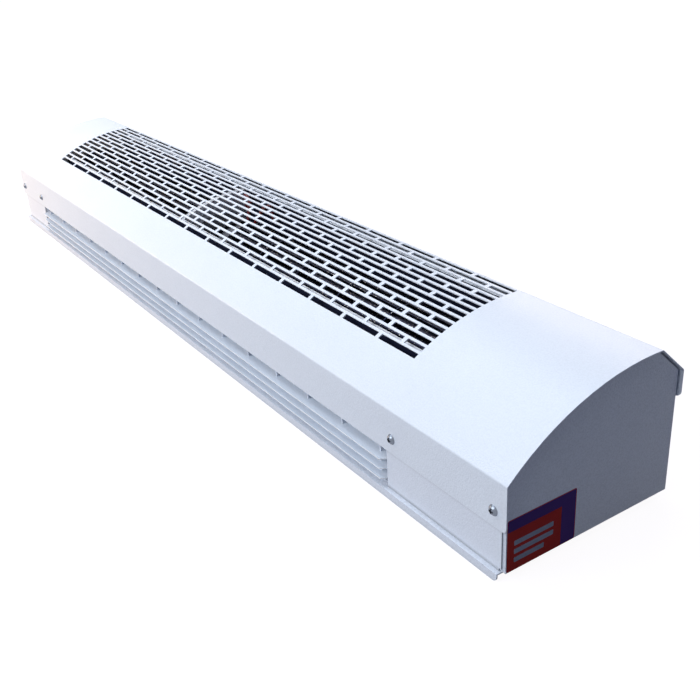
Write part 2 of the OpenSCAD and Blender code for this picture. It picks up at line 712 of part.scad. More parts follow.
// Rotor: forward-curved blades between two end discs, stiffened by rings
blade_tip_r = rotor_r - disc_t / 2;
blade_root_r = blade_tip_r - fan_blade_d;
blade_sweep = 11;
blade_steps = 3;
function blade_point(i, edge) =
  let(t = i / blade_steps, r = blade_root_r + fan_blade_d * t,
      turn = blade_sweep * t * t + edge * fan_blade_t / 2 / r * 180 / PI)
  axis + r * [cos(turn), sin(turn)];
module ring_section(r_in) {
  difference() {
    translate(axis) circle(r = rotor_r, $fn = round_fn);
    translate(axis) circle(r = r_in, $fn = round_fn);
  }
}
module rotor(side) {
  ring_step = (rotor_l - disc_t) / (ring_count + 1);
  color([0.6, 0.62, 0.64]) from_fan(side) {
    for (i = [0:fan_blades - 1])
      translate([0, rotor_y, rotor_z]) rotate([i * 360 / fan_blades, 0, 0])
        translate([0, -rotor_y, -rotor_z])
          along_x(rotor_in, rotor_in + rotor_l)
            polygon(concat(
              [for (k = [0:blade_steps]) blade_point(k, -1)],
              [for (k = [blade_steps:-1:0]) blade_point(k, 1)]
            ));
    for (i = [1:ring_count])
      along_x(rotor_in + i * ring_step, rotor_in + i * ring_step + disc_t)
        ring_section(blade_root_r - disc_t);
    along_x(rotor_in, rotor_in + disc_t) ring_section(hub_r);
    along_x(rotor_in + rotor_l - disc_t, rotor_in + rotor_l) ring_section(shaft_r);
  }
}
module rotor_left() { rotor(-1); }
module rotor_right() { rotor(1); }

// Hub that clamps each rotor to the motor's shaft, with its grub screw
module rotor_hub(side) {
  grub_r = shaft_r / 2;
  color([0.72, 0.7, 0.62]) from_fan(side) difference() {
    union() {
      rod_x(rotor_in, rotor_in + hub_l, hub_r, fn = small_fn);
      rod_x(rotor_in + disc_t, rotor_in + 3 * disc_t, hub_r + shaft_r, fn = small_fn);
    }
    rod_x(rotor_in - overrun, rotor_in + hub_l + overrun, shaft_r, fn = small_fn);
    translate([rotor_in + hub_l * 2 / 3, rotor_y, rotor_z + hub_r * 5 / 6])
      cylinder(r = grub_r, h = hub_r, $fn = small_fn);
  }
}
module rotor_hub_left() { rotor_hub(-1); }
module rotor_hub_right() { rotor_hub(1); }
module stub_shaft(side) {
  x0 = rotor_in + rotor_l;
  color([0.78, 0.79, 0.8]) from_fan(side) {
    rod_x(x0 - shaft_d, fan_half + bearing_l, shaft_r, fn = small_fn);
    rod_x(x0 - 3 * disc_t, x0 - disc_t, hub_r, fn = small_fn);
  }
}
module stub_shaft_left() { stub_shaft(-1); }
module stub_shaft_right() { stub_shaft(1); }

// Outer bearings in their holders, each in a fan side
bearing_l = shaft_d;
bearing_r = shaft_d;
module bearing(side) {
  x0 = fan_half - bearing_l / 2;
  color([0.72, 0.55, 0.3]) from_fan(side) difference() {
    rod_x(x0, x0 + bearing_l, bearing_r, fn = small_fn);
    rod_x(x0 - overrun, x0 + bearing_l + overrun, shaft_r + fit, fn = small_fn);
  }
}
module bearing_left() { bearing(-1); }
module bearing_right() { bearing(1); }
module bearing_holder(side) {
  x0 = fan_half - bearing_l / 2;
  color([0.1, 0.1, 0.1]) from_fan(side) difference() {
    union() {
      rod_x(x0, x0 + bearing_l, seat_r);
      rod_x(fan_half + sheet, fan_half + 2 * sheet, seat_r + shaft_r);
    }
    rod_x(x0 - overrun, x0 + bearing_l + overrun, bearing_r, fn = small_fn);
  }
}
module bearing_holder_left() { bearing_holder(-1); }
module bearing_holder_right() { bearing_holder(1); }

// Leads from the motor through the scroll, behind it and into the right-hand compartment
lead_r = sheet * 2;
lead_xs = [fan_x - 15 * lead_r, fan_x + 15 * lead_r];
lead_y = (scroll_y + rear_y) / 2;
lead_z = rotor_z + rotor_r * 3 / 4;
lead_crest_z = crown_z - sheet - 6 * lead_r;
grommet_r = 2 * lead_r;
block_l = 60 * sheet;
block_w = block_l / 3;
block_h = 5 * lead_r;
block_gap = 8 * sheet;
cap_r = block_w * 3 / 4;
cap_l = block_l;
cap_x = fold_x - cap_r - 2 * sheet;
block_x = cap_x - cap_r - block_w / 2 - block_gap;
block_y = cover_d / 2;
gland_x = block_x;
module lead(points) {
  for (i = [0:len(points) - 2]) {
    v = points[i + 1] - points[i];
    translate(points[i])
      rotate([0, acos(v.z / norm(v)), atan2(v.y, v.x)]) cylinder(r = lead_r, h = norm(v), $fn = small_fn);
    translate(points[i + 1]) sphere(r = lead_r + fit, $fn = small_fn);
  }
}
// One lead's way from inside the stator, over a crest under the cover and down to its grommet
function lead_rise(side) =
  let(start = (motor_r - 2 * sheet) * sin(45), x = lead_xs[(side + 1) / 2])
  [
    [fan_x + (side + 1) * 3 * lead_r, rotor_y + start, rotor_z + start],
    [side < 0 ? fan_x - lead_r : x - lead_r, rotor_y + 15 * lead_r, lead_crest_z - lead_r],
    [side < 0 ? x + 2 * lead_r : x, scroll_y - 3 * lead_r, lead_crest_z],
    [x, scroll_y - 2 * lead_r, lead_z],
    [x, lead_y, lead_z]
  ];
module motor_leads() {
  color([0.7, 0.1, 0.08]) in_case() {
    lead(concat(lead_rise(-1), [
      [side_plate_x(1) + 4 * lead_r, lead_y, lead_z],
      [block_x, block_y + block_l * 2 / 3, rotor_z],
      [block_x, block_y + block_l / 2 + lead_r, 6 * lead_r],
      [block_x, block_y + block_l / 2 - lead_r, 5 * lead_r]
    ]));
    lead(lead_rise(1));
  }
}
module grommet() {
  difference() {
    union() {
      translate([0, 0, -lead_r / 2]) cylinder(r = grommet_r, h = sheet + lead_r, $fn = small_fn);
      for (z = [-lead_r / 2, sheet])
        translate([0, 0, z]) cylinder(r = grommet_r + sheet, h = lead_r / 2, $fn = small_fn);
    }
    translate([0, 0, -overrun - lead_r]) cylinder(r = lead_r, h = 4 * lead_r, $fn = small_fn);
  }
}
module lead_grommets() {
  color([0.1, 0.1, 0.1]) in_case() {
    for (x = lead_xs) translate([x, scroll_y, lead_z]) rotate([-90, 0, 0]) grommet();
    translate([side_plate_x(1), lead_y, lead_z]) rotate([0, 90, 0]) grommet();
  }
}

// Terminal block on the back panel
poles = 5;
pole_pitch = block_l / poles;
pole_r = pole_pitch / 4;
module pole_places() {
  for (i = [0:poles - 1]) for (side = [-1, 1])
    translate([block_x + side * block_w / 4, block_y + (i - (poles - 1) / 2) * pole_pitch, 0]) children();
}
module terminal_block() {
  color([0.92, 0.92, 0.88]) in_case() difference() {
    block([block_x - block_w / 2, block_y - block_l / 2, 0],
          [block_x + block_w / 2, block_y + block_l / 2, block_h]);
    pole_places() translate([0, 0, block_h / 2]) cylinder(r = pole_r, h = block_h, $fn = small_fn);
    for (i = [0:poles - 1])
      rod_x(block_x - block_w, block_x + block_w, pole_r / 2,
            block_y + (i - (poles - 1) / 2) * pole_pitch, block_h / 3, small_fn);
    lead_socket();
  }
}
module lead_socket() {
  translate([block_x, block_y + block_l / 2, 5 * lead_r]) sphere(r = block_h / 2, $fn = small_fn);
}
module terminal_screws() {
  color([0.75, 0.72, 0.6]) in_case() pole_places() translate([0, 0, block_h / 2]) difference() {
    cylinder(r = pole_r, h = block_h / 4, $fn = small_fn);
    block([-pole_r, -pole_r / 5, block_h / 6], [pole_r, pole_r / 5, block_h]);
  }
}

// Motor capacitor in its clip
module capacitor() {
  color([0.85, 0.86, 0.88]) in_case() {
    translate([cap_x, block_y - cap_l / 2, cap_r + sheet]) rotate([-90, 0, 0])
      cylinder(r = cap_r, h = cap_l, $fn = round_fn);
    for (x = [-1, 1])
      translate([cap_x + x * cap_r / 3, block_y - cap_l / 2 - lead_r, cap_r + sheet])
        rotate([-90, 0, 0]) cylinder(r = lead_r, h = lead_r, $fn = small_fn);
  }
}
module capacitor_clip() {
  color([0.7, 0.72, 0.74]) in_case() difference() {
    union() {
      translate([cap_x, block_y - fold_w / 2, cap_r + sheet]) rotate([-90, 0, 0])
        cylinder(r = cap_r + sheet, h = fold_w, $fn = round_fn);
      block([cap_x - cap_r, block_y - fold_w / 2, 0], [cap_x + cap_r, block_y + fold_w / 2, sheet]);
    }
    translate([cap_x, block_y - fold_w, cap_r + sheet]) rotate([-90, 0, 0])
      cylinder(r = cap_r, h = 2 * fold_w, $fn = round_fn);
  }
}

// Cable gland through the rear panel, and its nut inside
gland_flange_t = 3 * sheet;
gland_tail = 9 * sheet;
module cable_gland() {
  color([0.12, 0.12, 0.13]) in_case() translate([gland_x, rear_face, gland_z]) difference() {
    union() {
      hole_y(-gland_tail, 0, gland_r);
      hole_y(0, gland_flange_t, gland_r + 3 * sheet);
    }
    hole_y(-gland_tail - overrun, gland_flange_t + overrun, cable_d / 2);
  }
}
module gland_nut() {
  nut_h = 4 * sheet;
  color([0.12, 0.12, 0.13]) in_case()
    translate([gland_x, rear_face - sheet, gland_z]) rotate([90, 0, 0]) difference() {
      cylinder(r = gland_r * 3 / 2, h = nut_h, $fn = 6);
      translate([0, 0, -overrun]) cylinder(r = gland_r, h = nut_h + 2 * overrun, $fn = small_fn);
    }
}

// Earth stud with two nuts
module earth_stud() {
  stud_r = screw_d / 2;
  color([0.8, 0.68, 0.35]) in_case() translate([side_plate_x(1) + 2 * fold_w, block_y, 0]) {
    cylinder(r = stud_r, h = 9 * stud_r, $fn = small_fn);
    for (z = [0, 3 * stud_r]) translate([0, 0, z]) cylinder(r = 2 * stud_r, h = 2 * stud_r, $fn = 6);
  }
}

cover();
back_panel();
front_panel();
rear_panel();
end_plate_left();
end_plate_right();
wall_rail_left();
wall_rail_right();
fan_side_left();
fan_side_right();
scroll();
tongue();
louvre_blade_top();
louvre_blade_middle();
louvre_blade_bottom();
louvre_comb();
louvre_end_left();
louvre_end_right();
rotor_left();
rotor_right();
rotor_hub_left();
rotor_hub_right();
stub_shaft_left();
stub_shaft_right();
bearing_left();
bearing_right();
bearing_holder_left();
bearing_holder_right();
motor_stator();
motor_bell_left();
motor_bell_right();
motor_armature();
motor_shaft();
motor_bush_left();
motor_bush_right();
motor_bracket_left();
motor_bracket_right();
motor_leads();
lead_grommets();
terminal_block();
terminal_screws();
capacitor();
capacitor_clip();
cable_gland();
gland_nut();
earth_stud();
cover_screws();
base_screws();
rear_screws();
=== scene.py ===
import math

import bmesh
import bpy
from mathutils import Matrix, Vector


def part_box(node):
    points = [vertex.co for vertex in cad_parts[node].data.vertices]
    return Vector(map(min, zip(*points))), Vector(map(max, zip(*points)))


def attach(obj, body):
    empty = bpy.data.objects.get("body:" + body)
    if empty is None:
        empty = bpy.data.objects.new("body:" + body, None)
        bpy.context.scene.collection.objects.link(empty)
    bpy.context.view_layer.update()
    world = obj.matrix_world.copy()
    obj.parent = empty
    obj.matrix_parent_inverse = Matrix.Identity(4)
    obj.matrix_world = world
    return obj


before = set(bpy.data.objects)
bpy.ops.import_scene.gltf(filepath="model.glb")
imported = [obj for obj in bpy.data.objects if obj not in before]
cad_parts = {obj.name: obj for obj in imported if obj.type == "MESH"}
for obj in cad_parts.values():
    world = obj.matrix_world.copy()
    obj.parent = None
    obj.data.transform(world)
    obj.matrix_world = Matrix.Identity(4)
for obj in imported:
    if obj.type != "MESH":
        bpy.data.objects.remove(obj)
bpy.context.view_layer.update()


# ---- Cover -----------------------------------------------------------------------------
# One steel sheet, punched with fifteen rows of slots, bent over the arch and screwed to the
# case. Its cool white powder coat melts into a fine pebbled skin with a soft sheen. Over
# the fans, its inside is painted dark, as painted shade.
def new_material(name):
    material = bpy.data.materials.new(name)
    material.use_nodes = True
    tree = material.node_tree
    return material, tree, tree.nodes["Principled BSDF"]


def add(tree, kind, **values):
    """A new node, with its sockets and settings of these names filled in."""
    made = tree.nodes.new(kind)
    for key, value in values.items():
        if key in made.inputs:
            made.inputs[key].default_value = value
        else:
            setattr(made, key, value)
    return made


def feed(tree, socket, source):
    """Wires a socket to another one, or sets it to a plain value."""
    if isinstance(source, bpy.types.NodeSocket):
        tree.links.new(source, socket)
    else:
        socket.default_value = source


def worked(tree, operation, *sources, kind="ShaderNodeMath", result="Value"):
    """One step of arithmetic on numbers."""
    made = add(tree, kind, operation=operation)
    for socket, source in zip(made.inputs, sources):
        feed(tree, socket, source)
    return made.outputs[result]


def worked_vector(tree, operation, *sources, result="Vector"):
    """One step of arithmetic on places or directions."""
    return worked(tree, operation, *sources, kind="ShaderNodeVectorMath", result=result)


def axes(tree, vector):
    """The X, Y and Z of a place or a direction."""
    parts = add(tree, "ShaderNodeSeparateXYZ")
    tree.links.new(vector, parts.inputs[0])
    return parts.outputs


def ranged(tree, source, start=0.0, end=1.0, low=0.0, high=1.0):
    """Turns values from start to end into values from low to high."""
    made = add(tree, "ShaderNodeMapRange")
    names = ("Value", "From Min", "From Max", "To Min", "To Max")
    for name, value in zip(names, (source, start, end, low, high)):
        feed(tree, made.inputs[name], value)
    return made.outputs["Result"]


def shades(tree, source, low, high, start=0.3, end=0.7):
    """Two shades laid over the surface by a texture."""
    ramp = add(tree, "ShaderNodeValToRGB")
    stops = ramp.color_ramp.elements
    stops[0].position, stops[1].position = start, end
    stops[0].color, stops[1].color = (*low, 1), (*high, 1)
    tree.links.new(source, ramp.inputs["Fac"])
    return ramp.outputs["Color"]


def laid_over(tree, under, over, share=1.0, blend="MIX"):
    """One colour over another, as far as share says."""
    mix = add(tree, "ShaderNodeMix", data_type="RGBA", blend_type=blend)
    share_in, under_in, over_in = mix.inputs[0], mix.inputs[6], mix.inputs[7]
    feed(tree, share_in, share)
    for socket, colour in ((under_in, under), (over_in, over)):
        feed(tree, socket, colour if isinstance(colour, bpy.types.NodeSocket) else (*colour, 1))
    return mix.outputs[2]


def recolour(material, over, share=1.0, blend="MIX"):
    """Lays a colour over the one that a material has so far."""
    tree = material.node_tree
    base = tree.nodes["Principled BSDF"].inputs["Base Color"]
    so_far = base.links[0].from_socket
    tree.links.new(laid_over(tree, so_far, over, share, blend), base)


def skin(tree, shader, scale, height, strength, layer=None, octaves=3.0):
    """Pebbled surface from object-space noise; scale counts pebbles in a metre."""
    places = add(tree, "ShaderNodeTexCoord").outputs
    noise = add(tree, "ShaderNodeTexNoise", Scale=scale, Detail=octaves, Roughness=0.55)
    bump = add(tree, "ShaderNodeBump", Distance=height, Strength=strength)
    tree.links.new(places["Object"], noise.inputs["Vector"])
    tree.links.new(noise.outputs["Fac"], bump.inputs["Height"])
    if layer is not None:
        tree.links.new(layer, bump.inputs["Normal"])
    tree.links.new(bump.outputs["Normal"], shader.inputs["Normal"])
    return noise.outputs["Fac"], bump.outputs["Normal"]


def powder_coat(
    name, colour, roughness, pebble=850.0, strength=1.0, hollow_shade=0.95, gloss=0.32, varnish=0.1
):
    """Sprayed coat: fine pebbles with painted shade in their hollows, on slow waves."""
    pebble_height = 0.00030
    waves, wave_height, wave_strength, wave_shade = 14.0, 0.00020, 0.12, 0.975
    material, tree, shader = new_material(name)
    shader.inputs["Roughness"].default_value = roughness
    shader.inputs["Specular IOR Level"].default_value = gloss
    shader.inputs["Coat Weight"].default_value = varnish
    shader.inputs["Coat Roughness"].default_value = 0.25
    pebbles, bump = skin(tree, shader, pebble, pebble_height, strength)
    flow, _ = skin(tree, shader, waves, wave_height, wave_strength, layer=bump, octaves=2.0)
    wavy = shades(tree, flow, [c * wave_shade for c in colour], colour)
    # Painted shade in the pebbles' hollows.
    hollows = shades(tree, pebbles, [hollow_shade] * 3, (1, 1, 1), start=0.35, end=0.6)
    pebbled = laid_over(tree, wavy, hollows, blend="MULTIPLY")
    tree.links.new(pebbled, shader.inputs["Base Color"])
    return material


def dress(material, *nodes):
    for name in nodes:
        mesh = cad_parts[name].data
        mesh.materials.clear()
        mesh.materials.append(material)


# The colour of the painted shade inside the case.
inner_shade = (0.020, 0.024, 0.050)


def paint_shade_inside(material, middle, spread, low, high):
    """Painted shade on faces turned towards the middle, between two corners of the plan."""
    edge_on, inwards = -0.05, -0.15
    tree = material.node_tree
    places = add(tree, "ShaderNodeTexCoord").outputs
    away = worked_vector(tree, "SUBTRACT", places["Object"], middle)
    even = worked_vector(tree, "MULTIPLY", away, spread)
    facing = worked_vector(tree, "DOT_PRODUCT", even, places["Normal"], result="Value")
    inner = ranged(tree, facing, start=edge_on, end=inwards)
    centre = [(a + b) / 2 for a, b in zip(low, high)] + [0]
    reach = [(b - a) / 2 for a, b in zip(low, high)] + [1]
    off = worked_vector(tree, "SUBTRACT", places["Object"], centre)
    size = worked_vector(tree, "ABSOLUTE", off)
    part = axes(tree, worked_vector(tree, "DIVIDE", size, reach))
    within = worked(tree, "LESS_THAN", worked(tree, "MAXIMUM", part["X"], part["Y"]), 1.0)
    recolour(material, inner_shade, share=worked(tree, "MULTIPLY", within, inner))


white_coat = powder_coat("white_powder_coat", (0.80, 0.845, 0.905), 0.36)
paint_shade_inside(
    white_coat,
    middle=(-0.020, 0.049, -0.061),
    spread=(0, 5.4, 5.4),
    low=(-0.42, -0.08),
    high=(0.38, 0.072),
)
dress(white_coat, "cover")


# ---- Case panels -----------------------------------------------------------------------
# Back, front and rear panels and two end plates, folded from steel sheet and screwed
# together. Their coat is a shade greyer than the cover's, painted dark inside as painted
# shade, with painted shade where one sheet meets another.
def paint_joint_shade(material, reach, start, shade):
    """Painted shade in the corners, where one sheet meets another."""
    tree = material.node_tree
    corner = add(tree, "ShaderNodeAmbientOcclusion", Distance=reach, samples=12)
    open_air = ranged(tree, corner.outputs["AO"], start=start, low=shade)
    recolour(material, open_air, blend="MULTIPLY")


for name, nodes, corner_shade, hollow_shade in (
    (
        "panel_powder_coat",
        ("back_panel", "rear_panel", "end_plate_left", "end_plate_right"),
        0.85,
        0.88,
    ),
    ("front_powder_coat", ("front_panel",), 0.40, 0.95),
):
    panel_coat = powder_coat(name, (0.79, 0.83, 0.897), 0.36, hollow_shade=hollow_shade)
    paint_shade_inside(
        panel_coat,
        middle=(0, 0.010, 0.055),
        spread=(2.0, 11.5, 18.0),
        low=(-0.492, -0.066),
        high=(0.492, 0.086),
    )
    # Painted shade along the joints; on the front panel it is darker.
    paint_joint_shade(panel_coat, reach=0.0035, start=0.5, shade=corner_shade)
    dress(panel_coat, *nodes)


# ---- Wall rails and fan sides ----------------------------------------------------------
# The two rails on the wall side, and the plates at the rotors' outer ends. All are pressed
# from galvanised steel and left bare, with the soft mottling of its zinc flakes.
def bare_metal(name, colour, roughness, flake, strength=0.25, metallic=1.0):
    """Metal mottled by its flakes; flake counts them in a metre."""
    scratch_height, flake_shade = 0.00005, 0.8
    material, tree, shader = new_material(name)
    shader.inputs["Metallic"].default_value = metallic
    places = add(tree, "ShaderNodeTexCoord").outputs
    flakes = add(tree, "ShaderNodeTexVoronoi", Scale=flake)
    tree.links.new(places["Object"], flakes.inputs["Vector"])
    depth = flakes.outputs["Distance"]
    dark = [c * flake_shade for c in colour]
    mottled = shades(tree, depth, dark, colour, start=0.0, end=0.8)
    rough = ranged(tree, depth, low=roughness * 0.8, high=roughness * 1.2)
    tree.links.new(mottled, shader.inputs["Base Color"])
    tree.links.new(rough, shader.inputs["Roughness"])
    skin(tree, shader, flake * 3, scratch_height, strength)
    return material


zinc_sheet = bare_metal("galvanised_sheet", (0.60, 0.62, 0.64), 0.42, flake=160.0)
dress(zinc_sheet, "wall_rail_left", "wall_rail_right", "fan_side_left", "fan_side_right")


# ---- Scroll and tongue -----------------------------------------------------------------
# Steel sheets that guide the air round the rotors, painted black as painted shade so that
# the slots read dark. Their folded top edges are painted highlights, and the scroll's
# flange ends in a grey margin of painted shade. The outlet's floor and roof stay pale.
# Black and grey stand for shade here, and the pale edge for light: all painted.
painted_shade_black, outlet_white = (0.011, 0.013, 0.030), (0.76, 0.80, 0.86)
painted_highlight, painted_shade_margin = (0.93, 0.95, 0.98), (0.26, 0.31, 0.38)
flange_width = 0.006


def edged_sheet(name, edge, rim, outlet_y, stripes):
    """Painted-shade black, painted light and shade along the rim, pale ahead of outlet_y."""
    material = powder_coat(name, painted_shade_black, 0.6, strength=0.15, gloss=0.06, varnish=0.0)
    tree = material.node_tree
    place = axes(tree, add(tree, "ShaderNodeTexCoord").outputs["Object"])
    bands = add(tree, "ShaderNodeValToRGB")
    bands.color_ramp.interpolation = "CONSTANT"
    while len(bands.color_ramp.elements) < len(stripes):
        bands.color_ramp.elements.new(1.0)
    for stop, (position, colour) in zip(bands.color_ramp.elements, stripes):
        stop.position = position
        stop.color = (*colour, 1)
    across = ranged(tree, place["Y"], start=edge.y - flange_width, end=edge.y)
    tree.links.new(across, bands.inputs["Fac"])
    on_rim = worked(tree, "GREATER_THAN", place["Z"], edge.z - rim)
    recolour(material, bands.outputs["Color"], share=on_rim)
    recolour(material, outlet_white, share=worked(tree, "LESS_THAN", place["Y"], outlet_y))
    return material


scroll_coat = edged_sheet(
    "scroll_coat",
    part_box("scroll")[1],
    rim=0.0011,
    outlet_y=-0.012,
    stripes=[(0.0, painted_shade_black), (0.24, painted_highlight), (0.72, painted_shade_margin)],
)
dress(scroll_coat, "scroll")
tongue_coat = edged_sheet(
    "tongue_coat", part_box("tongue")[1], rim=0.0018, outlet_y=-0.042, stripes=[(0.0, painted_highlight)]
)
dress(tongue_coat, "tongue")


# ---- Louvre ----------------------------------------------------------------------------
# Three long blades with slanted front corners, slid into two end pieces and tied by a comb
# of thin cross ribs. All are steel, coated like the case; the blades' coat is paler, as
# painted light, and their front edges carry a painted highlight.
front_highlight = (0.98, 0.99, 1.0)
blade_coat = powder_coat("louvre_blade_coat", (0.80, 0.86, 0.935), 0.34, strength=0.1)
tree = blade_coat.node_tree
facing = axes(tree, add(tree, "ShaderNodeTexCoord").outputs["Normal"])
# The faces turned forwards get a painted highlight.
forwards = worked(tree, "LESS_THAN", facing["Y"], -0.5)
recolour(blade_coat, front_highlight, share=forwards)
dress(blade_coat, "louvre_blade_top", "louvre_blade_middle", "louvre_blade_bottom")
comb_coat = powder_coat("louvre_comb_coat", (0.77, 0.82, 0.90), 0.42, strength=0.4)
dress(comb_coat, "louvre_comb", "louvre_end_left", "louvre_end_right")


# ---- Rotors ----------------------------------------------------------------------------
# Rolled alloy blades pressed into thin rings, dark, and darker still as painted shade, with
# painted glints in pale flecks. The hubs are die-cast, the stub shafts are ground steel,
# and the bronze bearings sit in rubber holders.
def clouded(
    name, colour, roughness, grain=1400.0, height=0.00004, strength=0.35, shade=0.85, gloss=0.5
):
    """Rubber, nylon or ink: one colour, a little cloudy; grain counts clouds in a metre."""
    material, tree, shader = new_material(name)
    shader.inputs["Roughness"].default_value = roughness
    shader.inputs["Specular IOR Level"].default_value = gloss
    cloud, _ = skin(tree, shader, grain, height, strength)
    cloudy = shades(tree, cloud, [c * shade for c in colour], colour)
    tree.links.new(cloudy, shader.inputs["Base Color"])
    return material


# Pale flecks on the rotors are painted glints.
glint_grey, flecks_per_metre, fleck_reach = (0.62, 0.60, 0.56), 340.0, 0.22
# The rotor alloy is darkened as painted shade.
rotor_alloy = bare_metal("rolled_alloy", (0.032, 0.036, 0.070), 0.42, flake=90.0)
tree = rotor_alloy.node_tree
flecks = add(tree, "ShaderNodeTexVoronoi", Scale=flecks_per_metre)
tree.links.new(add(tree, "ShaderNodeTexCoord").outputs["Object"], flecks.inputs["Vector"])
glints = worked(tree, "LESS_THAN", flecks.outputs["Distance"], fleck_reach)
recolour(rotor_alloy, glint_grey, share=glints)
dress(rotor_alloy, "rotor_left", "rotor_right")
cast_alloy = bare_metal("die_cast_alloy", (0.13, 0.135, 0.16), 0.5, flake=500.0)
dress(cast_alloy, "rotor_hub_left", "rotor_hub_right")
ground_steel = bare_metal("ground_steel", (0.62, 0.63, 0.65), 0.25, flake=900.0, strength=0.1)
dress(ground_steel, "stub_shaft_left", "stub_shaft_right")
bronze = bare_metal("sintered_bronze", (0.60, 0.42, 0.20), 0.4, flake=1500.0)
dress(bronze, "bearing_left", "bearing_right")
black_rubber = clouded("black_rubber", (0.02, 0.02, 0.021), 0.75, grain=700.0)
dress(black_rubber, "bearing_holder_left", "bearing_holder_right")


# ---- Motor -----------------------------------------------------------------------------
# A stack of steel rings in dark enamel between two cast bells, turning a ground shaft.
# Rubber rings carry it in two zinc-plated bracket plates: the left one painted bright as
# painted light, the right one painted dark as painted shade.
motor_enamel = powder_coat(
    "motor_enamel", (0.012, 0.014, 0.022), 0.6, pebble=500.0, gloss=0.06, varnish=0.0
)
dress(motor_enamel, "motor_stator")
dress(cast_alloy, "motor_bell_left", "motor_bell_right")
dress(ground_steel, "motor_shaft", "motor_armature")
dress(black_rubber, "motor_bush_left", "motor_bush_right")
# Painted light: the left bracket is brighter than its zinc.
bright_zinc = bare_metal(
    "bright_zinc", (0.90, 0.93, 0.97), 0.34, flake=600.0, strength=0.12, metallic=0.1
)
dress(bright_zinc, "motor_bracket_left")
# Painted shade on the right bracket; on the capacitor clip, dull zinc.
dull_zinc = bare_metal("dull_zinc", (0.20, 0.21, 0.24), 0.5, flake=600.0, strength=0.12)
dress(dull_zinc, "motor_bracket_right")


# ---- Motor leads -----------------------------------------------------------------------
# Copper leads in red insulation. They run from the motor through rubber grommets in the
# scroll, and behind it to the terminals.
red_insulation = clouded("red_insulation", (0.19, 0.008, 0.012), 0.45)
dress(red_insulation, "motor_leads")
dress(black_rubber, "lead_grommets")


# ---- Electrics -------------------------------------------------------------------------
# Nylon terminal block with brass screws, a sealed capacitor in a sprung zinc-plated clip,
# the nylon cable gland with its nut, and the brass earth stud.
pale_nylon = clouded("pale_nylon", (0.74, 0.74, 0.70), 0.5)
dress(pale_nylon, "terminal_block", "capacitor")
dress(dull_zinc, "capacitor_clip")
black_nylon = clouded("black_nylon", (0.022, 0.022, 0.024), 0.45)
dress(black_nylon, "cable_gland", "gland_nut")
brass = bare_metal("brass", (0.72, 0.52, 0.22), 0.3, flake=1200.0)
dress(brass, "terminal_screws", "earth_stud")


# ---- Screws ----------------------------------------------------------------------------
# Zinc-plated pan heads with a cross recess hold the cover; smaller ones hold the case
# sheets together. The recesses are painted dark, as painted shade.
recess_shade, recess_depth = (0.02, 0.02, 0.022), 0.0012
screw_zinc = bare_metal("screw_zinc", (0.19, 0.215, 0.26), 0.34, flake=2500.0, strength=0.15)
tree = screw_zinc.node_tree
# Painted shade in the recesses.
recess = add(tree, "ShaderNodeAmbientOcclusion", Distance=recess_depth, samples=8)
shaded_recess = ranged(tree, recess.outputs["AO"], start=0.35, end=0.85, low=1.0, high=0.0)
recolour(screw_zinc, recess_shade, share=shaded_recess)
dress(screw_zinc, "cover_screws", "base_screws", "rear_screws")


# ---- Sticker ---------------------------------------------------------------------------
# A printed film stuck on the right-hand end plate, low at the front corner: a rust field
# with a dark blue block along its top and rear edges, and three blank pale bars.
plate_low, plate_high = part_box("end_plate_right")
label_inset = 0.0008
label_front, label_foot = plate_low.y + label_inset, plate_low.z
label_w, label_h, label_corner = 0.060, 0.040, 0.0015
thickness, film_lift, ink_lift = 0.00004, 0.00006, 0.00011


def ink(name, colour):
    return clouded(
        name, colour, 0.6, grain=60.0, height=0.0001, strength=0.15, shade=0.9, gloss=0.04
    )


def printed_shape(name, outline, lift, material):
    """A thin shape on the end plate; its outline is measured from the film's low corner."""
    mesh = bpy.data.meshes.new(name)
    piece = bpy.data.objects.new(name, mesh)
    bpy.context.collection.objects.link(piece)
    shape = bmesh.new()
    outer = plate_high.x + lift
    face, back = (
        [shape.verts.new((x, label_front + y, label_foot + z)) for y, z in outline]
        for x in (outer, outer - thickness)
    )
    shape.faces.new(face)
    shape.faces.new(back)
    for i in range(len(outline)):
        shape.faces.new((face[i - 1], face[i], back[i], back[i - 1]))
    bmesh.ops.recalc_face_normals(shape, faces=shape.faces)
    shape.to_mesh(mesh)
    shape.free()
    mesh.materials.append(material)
    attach(piece, "case")


def rounded_box(y0, z0, y1, z1, r, steps=5):
    """The outline of a box, with round corners."""
    front, rear, foot, top = y0 + r, y1 - r, z0 + r, z1 - r
    points = []
    for y, z, start in ((rear, foot, -90), (rear, top, 0), (front, top, 90), (front, foot, 180)):
        for i in range(steps + 1):
            turn = math.radians(start + 90 * i / steps)
            points.append((y + r * math.cos(turn), z + r * math.sin(turn)))
    return points


rust_ink = ink("rust_ink", (0.56, 0.037, 0.030))
field = rounded_box(0, 0, label_w, label_h, label_corner)
printed_shape("label_film", field, film_lift, rust_ink)

blue_ink = ink("blue_ink", (0.068, 0.026, 0.178))
rim, band_foot, block_front = 0.0006, 0.031, 0.047
block_top, block_rear = label_h - rim, label_w - rim
block = [
    (rim, block_top),
    (rim, band_foot),
    (block_front, band_foot),
    (block_front, rim),
    (block_rear, rim),
    (block_rear, block_top),
]
printed_shape("label_band", block, ink_lift, blue_ink)

pale_ink = ink("pale_ink", (0.50, 0.50, 0.55))
bar_front, bar_foot, bar_h, bar_pitch, bar_corner = 0.006, 0.006, 0.0038, 0.0065, 0.0006
for i, width in enumerate((0.026, 0.034, 0.034)):
    foot = bar_foot + i * bar_pitch
    bar = rounded_box(bar_front, foot, bar_front + width, foot + bar_h, bar_corner)
    printed_shape(f"label_bar_{i + 1}", bar, ink_lift, pale_ink)


